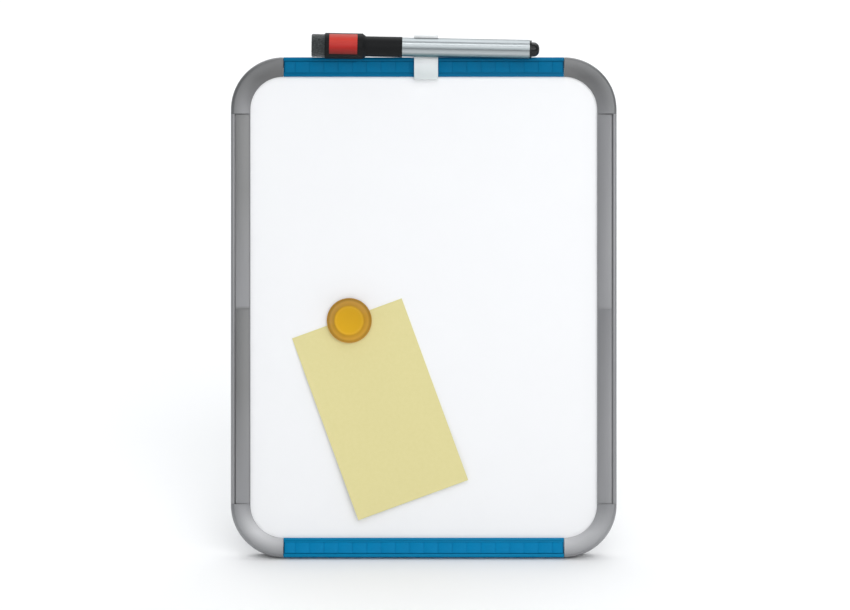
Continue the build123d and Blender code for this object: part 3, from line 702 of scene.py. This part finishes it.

# %% [markdown]
# The magnet is a disc under a cap of clear amber plastic. Light that enters at the top leaves at the
# bottom, and that is painted light here: the tone is painted rising from the upper right to the lower
# left. The disc under the flat top shows as a brighter circle with a paler line at the cap's shoulder,
# then come a groove, a bead and the rim. Rings painted by distance from the magnet's axis give that
# look in every view: the amber's own colour, with painted light for the disc seen through it and
# painted highlights at the shoulder and the bead.

# %% Amber magnet
MAGNET_PLACE = on_board(-41.7, 132.6, 8.5)
MAGNET_RADIUS = 12.6
amber, tree, shader = new_finish(
    "clear_amber_acrylic",
    ior=1.49,
    roughness=0.3,
    specular_ior_level=0.12,
    subsurface_weight=0.1,
    subsurface_radius=(1.0, 0.6, 0.15),
    subsurface_scale=0.003,
)
place = board_place(tree)
centre = TO_WORLD.transposed() @ (MAGNET_PLACE - BOARD_FOOT) / MM
from_axis = add_node(
    tree,
    "ShaderNodeVectorMath",
    {0: place, 1: centre},
    operation="SUBTRACT",
).outputs["Vector"]
flat = add_node(
    tree, "ShaderNodeVectorMath", {0: from_axis, 1: (1, 1, 0)}, operation="MULTIPLY"
).outputs["Vector"]
radius = add_node(tree, "ShaderNodeVectorMath", {0: flat}, operation="LENGTH").outputs["Value"]
share = add_node(
    tree, "ShaderNodeMapRange", {"Value": radius, "From Min": 0.0, "From Max": MAGNET_RADIUS}
)
ramp = add_node(tree, "ShaderNodeValToRGB", {"Fac": share.outputs["Result"]})
DISC_EDGE, SHOULDER, GROOVE, BEAD, RIM = 0.52, 0.59, 0.68, 0.83, 0.93
# Amber colour with painted light: a brighter disc under the top and painted highlights at shoulder and
# bead.
rings_and_painted_light = set_stops(
    ramp,
    [
        (DISC_EDGE, "dca818"),
        (SHOULDER, "e0ac28"),
        (GROOVE, "c49022"),
        (BEAD, "d4a03c"),
        (RIM, "b08028"),
        (1.0, "bf9346"),
    ],
)
LIGHT_FROM = (0.5, 0.87, 0)
depth = add_node(
    tree, "ShaderNodeVectorMath", {0: from_axis, 1: LIGHT_FROM}, operation="DOT_PRODUCT"
).outputs["Value"]
# Painted glow: the amber is painted lighter towards the lower left, where the light leaves it.
painted_glow = shaded(tree, rings_and_painted_light, depth, 0.84, 1.08, MAGNET_RADIUS, -MAGNET_RADIUS)
tree.links.new(painted_glow, shader.inputs["Base Color"])
dress(amber, "magnet_cap")

nickel, tree, shader = new_finish("nickel_plated_steel", metallic=1.0)
place = board_place(tree)
scuff = moulded_grain(tree, shader, place, size=0.8, depth=0.006)
tint(tree, shader, scuff, (0.3, "b9b8b2"), (0.7, "cbcac4"))
vary(tree, shader, "Roughness", scuff, 0.28, 0.4)
dress(nickel, "magnet_disc")

# %% [markdown]
# The note is a card of thin paper held at its top edge only. Below its top quarter it lifts towards
# the free end, and its left side lifts too, each by a millimetre or two, so that it throws a thin
# shadow. A grid of faces is turned to the note's angle and lifted by squares of the distance, so that
# the paper bends smoothly, and Solidify gives it its thickness.

# %% Paper note
NOTE_CENTRE = (-24.45, 82.95)
NOTE_SIZE = (65.4, 108.3)
NOTE_TURN = math.radians(20.1)
NOTE_BACK = 8.15
PAPER = 0.3
FREE_LIFT = 1.8
SIDE_LIFT = 1.5
HELD = 0.25
FLAT_PAST_MIDDLE = 0.1


def share_between(value, start, end):
    """How far a value is from start to end, kept between 0 and 1."""
    return min(max((value - start) / (end - start), 0.0), 1.0)


bm = bmesh.new()
bmesh.ops.create_grid(bm, x_segments=24, y_segments=40, size=0.5)
for vert in bm.verts:
    across, along = vert.co.x, vert.co.y
    from_top = 0.5 - along
    down = share_between(from_top, HELD, 1.0)
    edge = share_between(-across, FLAT_PAST_MIDDLE, 0.5)
    loose = share_between(from_top, 0.0, HELD)
    lift = FREE_LIFT * down**2 + SIDE_LIFT * edge**2 * loose
    turned = Matrix.Rotation(NOTE_TURN, 2) @ Vector((across * NOTE_SIZE[0], along * NOTE_SIZE[1]))
    vert.co = on_board(NOTE_CENTRE[0] + turned.x, NOTE_CENTRE[1] + turned.y, NOTE_BACK + lift)
mesh = bpy.data.meshes.new("paper_note")
bm.to_mesh(mesh)
bm.free()
paper_note = bpy.data.objects.new("paper_note", mesh)
bpy.context.scene.collection.objects.link(paper_note)
thickness = paper_note.modifiers.new("paper thickness", "SOLIDIFY")
thickness.thickness = PAPER * MM
thickness.offset = 1.0
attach(paper_note, "note")
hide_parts("note_card")

paper, tree, shader = new_finish("yellow_note_paper", roughness=0.9, ior=1.45)
PAPER_FIBRE = 2.2
fibres = add_node(
    tree,
    "ShaderNodeTexNoise",
    {
        "Vector": board_place(tree),
        "Scale": 1 / PAPER_FIBRE,
        "Detail": 8.0,
        "Roughness": 0.7,
    },
).outputs["Fac"]
tint(tree, shader, fibres, (0.3, "e4da9c"), (0.7, "e7dda1"))
relief(tree, shader, fibres, depth=0.03, strength=0.6)
mesh.materials.append(paper)
print("paper note, widest lift in mm:", FREE_LIFT + SIDE_LIFT)

# %% [markdown]
# A plain pale floor runs out to a wide, even white, as in a studio cove. The floor is matt, and so
# large that its far edge is never in the picture.

# %% Floor
FLOOR_SIZE = 60.0
bm = bmesh.new()
bmesh.ops.create_grid(bm, x_segments=4, y_segments=4, size=FLOOR_SIZE / 2)
mesh = bpy.data.meshes.new("studio_floor")
bm.to_mesh(mesh)
bm.free()
floor = bpy.data.objects.new("studio_floor", mesh)
bpy.context.scene.collection.objects.link(floor)
pale, tree, shader = new_finish("pale_floor_paint", roughness=0.9)
place = add_node(tree, "ShaderNodeTexCoord").outputs["Object"]
cloud = add_node(tree, "ShaderNodeTexNoise", {"Vector": place, "Scale": 1.5, "Detail": 4.0})
tint(tree, shader, cloud.outputs["Fac"], (0.3, "f9f9f9"), (0.7, "fbfbfb"))
mesh.materials.append(pale)

# %% [markdown]
# The light is a big soft box in front and a little to the right, a narrow strip above the camera, a
# small box far to the right that gives the note its thin shadow, and a wide box over the floor behind.
# The room is grey behind the camera and almost white behind the board, which gives polished and satin
# surfaces something to reflect.

# %% Lights
world = bpy.data.worlds.new("white_room")
bpy.context.scene.world = world
world.use_nodes = True
tree = world.node_tree
tree.nodes.clear()
direction = add_node(tree, "ShaderNodeTexCoord").outputs["Generated"]
depth = add_node(tree, "ShaderNodeSeparateXYZ", {"Vector": direction}).outputs["Y"]
FRONT_WALL, BACK_WALL = -0.3, 0.7
behind = add_node(
    tree,
    "ShaderNodeMapRange",
    {"Value": depth, "From Min": FRONT_WALL, "From Max": BACK_WALL},
)
ramp = add_node(tree, "ShaderNodeValToRGB", {"Fac": behind.outputs["Result"]})
room = set_stops(
    ramp,
    [(0.0, "a4a7aa"), (0.12, "a8abae"), (0.3, "c6c9cc"), (0.45, "bec1c4"), (1.0, "f0f2f4")],
)
background = add_node(tree, "ShaderNodeBackground", {"Color": room, "Strength": 0.95})
add_node(tree, "ShaderNodeOutputWorld", {"Surface": background.outputs["Background"]})


def soft_box(name, place, target, size, power):
    """A rectangular area light that points at a target, with its size in metres, power in watts."""
    lamp = bpy.data.lights.new(name, "AREA")
    lamp.shape = "RECTANGLE"
    lamp.size, lamp.size_y = size
    lamp.energy = power
    box = bpy.data.objects.new(name, lamp)
    bpy.context.scene.collection.objects.link(box)
    box.location = place
    box.rotation_euler = (Vector(target) - Vector(place)).to_track_quat("-Z", "Y").to_euler()
    return box


MIDDLE = on_board(0, BOARD_TOP / 2, 8)
soft_box("key_soft_box", (0.42, -1.85, 1.25), MIDDLE, size=(1.4, 1.4), power=13.9)
soft_box("side_soft_box", (1.25, -1.15, 1.25), MIDDLE, size=(0.35, 0.35), power=3.6)
soft_box("strip_soft_box", (0.0, -0.85, 1.85), MIDDLE, size=(1.6, 0.45), power=5.0)
soft_box("floor_soft_box", (0.0, 1.3, 1.7), (0.0, 1.3, 0.0), size=(2.8, 2.2), power=27.0)

# %% [markdown]
# The camera stands square to the board and far away, with a long lens, so that the frame's sides
# stay hidden and its outline is a true rectangle. The picture is 850 pixels wide, and 0.56 mm of the
# board falls on each of them.

# %% Camera
PICTURE_WIDTH = 850
MM_PER_PIXEL = 0.56
DISTANCE = 2.8
SENSOR = 36.0
aim = on_board(0.7, 141.3, 9.0)
camera = bpy.data.cameras.new("picture_camera")
camera.sensor_width = SENSOR
camera.lens = SENSOR * DISTANCE / (PICTURE_WIDTH * MM_PER_PIXEL * MM)
camera.clip_end = 100.0
viewer = bpy.data.objects.new("picture_camera", camera)
bpy.context.scene.collection.objects.link(viewer)
viewer.location = aim + OUT * DISTANCE
viewer.rotation_euler = (-OUT).to_track_quat("-Z", "Y").to_euler()
bpy.context.scene.camera = viewer
bpy.context.scene.view_settings.view_transform = "Standard"
print("lens in mm:", round(camera.lens, 1))
